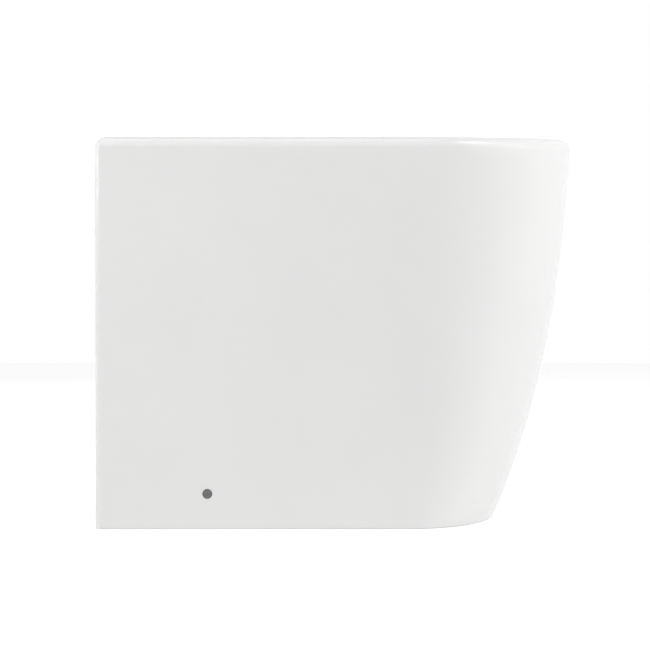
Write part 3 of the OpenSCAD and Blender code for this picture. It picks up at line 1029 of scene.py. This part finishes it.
class TOILET_OT_add_fixings(bpy.types.Operator):
    """Adds the brackets, bushes, screws, nuts, caps and seal with rounded edges"""

    bl_idname = "toilet.add_fixings"
    bl_label = "Add fixings"

    def execute(self, context):
        for make in (nylon_finish, zinc_finish, cap_finish, rubber_finish):
            make()
        for name, node in list(frame["nodes"].items()):
            stem = name.removesuffix("_left").removesuffix("_right")
            if stem not in FIXINGS:
                continue
            finish, slot, radius = FIXINGS[stem]
            piece = softened_copy(node, radius)
            piece.data.materials.clear()
            piece.data.materials.append(bpy.data.materials[finish])
            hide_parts(name)
            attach(piece, body_of(node)[0])
        return {"FINISHED"}


# ---------- the stage ----------


# The point that the softboxes face, and each softbox's shape, place, width and height.
AIM = Vector((0, 0, 0.2))
SOFTBOXES = {
    "left": ("RECTANGLE", (-1.9, -0.9, 0.9), 1.2, 1.2),
    "right": ("RECTANGLE", (2.6, 0, 1.4), 2.4, 1.8),
    "front": ("RECTANGLE", (2.6, -1.0, 1.3), 2.4, 1.8),
    "high": ("ELLIPSE", (1.55, -0.95, 2.0), 1, 1),
    "top": ("RECTANGLE", (-0.2, -0.8, 2.5), 1.8, 1.4),
    "fill": ("RECTANGLE", (-0.3, -3.0, 1.6), 3.2, 1.8),
    "rear": ("RECTANGLE", (-0.6, 2.6, 1.4), 2.4, 1.6),
}
# The softboxes that the glaze doesn't mirror, or the deck would burn out when seen from behind.
UNMIRRORED = ("right",)
FLOOR_SIZE = 7.96
# Strength of the glow that the lens sees on the floor, and its share beside the lit floor.
GLOW, GLOW_SHARE = 1.25, 0.7
# The camera's full-frame sensor in millimetres and its farthest sight in metres.
SENSOR_WIDTH, CLIP_END = 36, 50


def seen_by(tree, rays, plain, lit):
    """Mixes two shaders: these kinds of ray see the lit one, and all others the plain one."""
    path = tree.nodes.new("ShaderNodeLightPath")
    kind = path.outputs[rays[0]]
    for ray in rays[1:]:
        either = tree.nodes.new("ShaderNodeMath")
        either.operation = "MAXIMUM"
        tree.links.new(kind, either.inputs[0])
        tree.links.new(path.outputs[ray], either.inputs[1])
        kind = either.outputs[0]
    mix = tree.nodes.new("ShaderNodeMixShader")
    tree.links.new(kind, mix.inputs[0])
    link(tree, plain, 0, mix, 1)
    link(tree, lit, 0, mix, 2)
    return mix


def set_world(studio):
    """White to the lens, to mirrors and through clear things, and a dim light to all else."""
    world = bpy.data.worlds.new("studio_room")
    bpy.context.scene.world = world
    world.use_nodes = True
    tree = world.node_tree
    ambient = tree.nodes["Background"]
    ambient.inputs["Color"].default_value = (1, 1, 1, 1)
    ambient.inputs["Strength"].default_value = studio.ambient
    white = tree.nodes.new("ShaderNodeBackground")
    white.inputs["Color"].default_value = (1, 1, 1, 1)
    mix = seen_by(
        tree, ("Is Camera Ray", "Is Glossy Ray", "Is Transmission Ray"), ambient, white
    )
    link(tree, mix, 0, tree.nodes["World Output"], "Surface")


def floor_finish(studio):
    """Pale matt floor: the lens sees it glow under a part of its shadow, the glaze sees white."""
    material, shader = material_with("pale_floor")
    tree = material.node_tree
    shader.inputs["Base Color"].default_value = (*studio.floor, 1)
    shader.inputs["Roughness"].default_value = 0.9
    shader.inputs["Specular IOR Level"].default_value = 0.1
    glow = tree.nodes.new("ShaderNodeEmission")
    glow.inputs["Strength"].default_value = GLOW
    part = tree.nodes.new("ShaderNodeMixShader")
    part.inputs[0].default_value = GLOW_SHARE
    link(tree, shader, 0, part, 1)
    link(tree, glow, 0, part, 2)
    white = tree.nodes.new("ShaderNodeEmission")
    mirrored = seen_by(tree, ("Is Glossy Ray", "Is Transmission Ray"), shader, white)
    mix = seen_by(tree, ("Is Camera Ray",), mirrored, part)
    link(tree, mix, 0, tree.nodes["Material Output"], "Surface")
    return material


def add_softbox(name, shape, location, size, power):
    """A lamp turned to the object's middle and hidden from the camera."""
    bpy.ops.object.light_add(type="AREA", location=location)
    lamp = bpy.context.object
    lamp.name = name + "_softbox"
    lamp.data.shape = shape
    lamp.data.size, lamp.data.size_y = size
    lamp.data.energy = power
    lamp.rotation_euler = (AIM - lamp.location).to_track_quat("-Z", "Y").to_euler()
    lamp.visible_camera = False
    lamp.visible_glossy = name not in UNMIRRORED


class TOILET_OT_set_stage(bpy.types.Operator):
    """Adds the room's light, the floor, the softboxes and the camera"""

    bl_idname = "toilet.set_stage"
    bl_label = "Set stage"

    def execute(self, context):
        studio = context.scene.studio
        set_world(studio)
        bpy.ops.object.select_all(action="DESELECT")
        bpy.ops.mesh.primitive_plane_add(size=FLOOR_SIZE, location=(0, 0, 0))
        floor = bpy.context.object
        floor.name = "studio_floor"
        floor.data.materials.append(floor_finish(studio))
        for name, (shape, location, *size) in SOFTBOXES.items():
            add_softbox(name, shape, location, size, getattr(studio, name + "_power"))
        bpy.ops.object.camera_add(
            location=(studio.offset, -studio.distance, studio.eye_height),
            rotation=(pi / 2 - studio.pitch, 0, 0),
        )
        camera = context.object
        camera.data.lens = studio.lens
        camera.data.sensor_width = SENSOR_WIDTH
        camera.data.clip_end = CLIP_END
        context.scene.camera = camera
        context.scene.view_settings.view_transform = "Standard"
        return {"FINISHED"}


class TOILET_PT_panel(bpy.types.Panel):
    """Lists the sizes, colours and steps"""

    bl_label = "Toilet pan"
    bl_idname = "TOILET_PT_panel"
    bl_space_type = "VIEW_3D"
    bl_region_type = "UI"
    bl_category = "Toilet pan"

    def draw(self, context):
        for group in PROPERTIES:
            settings = getattr(context.scene, group)
            column = self.layout.column(align=True)
            column.label(text=group.replace("_", " ").capitalize())
            for name in settings.__annotations__:
                column.prop(settings, name)
        for step in STEPS:
            self.layout.operator(step.bl_idname)


PROPERTIES = {
    "pan_sizes": PanSizes,
    "trap_sizes": TrapSizes,
    "hole_sizes": HoleSizes,
    "finishes": Finishes,
    "studio": Studio,
}
STEPS = (TOILET_OT_add_pan, TOILET_OT_add_fixings, TOILET_OT_set_stage)
CLASSES = (*PROPERTIES.values(), *STEPS, TOILET_PT_panel)


def register():
    for made in CLASSES:
        bpy.utils.register_class(made)
    for name, group in PROPERTIES.items():
        setattr(bpy.types.Scene, name, PointerProperty(type=group))


def unregister():
    for name in PROPERTIES:
        delattr(bpy.types.Scene, name)
    for made in reversed(CLASSES):
        bpy.utils.unregister_class(made)


def main():
    register()
    bpy.ops.toilet.add_pan()
    bpy.ops.toilet.add_fixings()
    bpy.ops.toilet.set_stage()


if __name__ == "__main__":
    main()
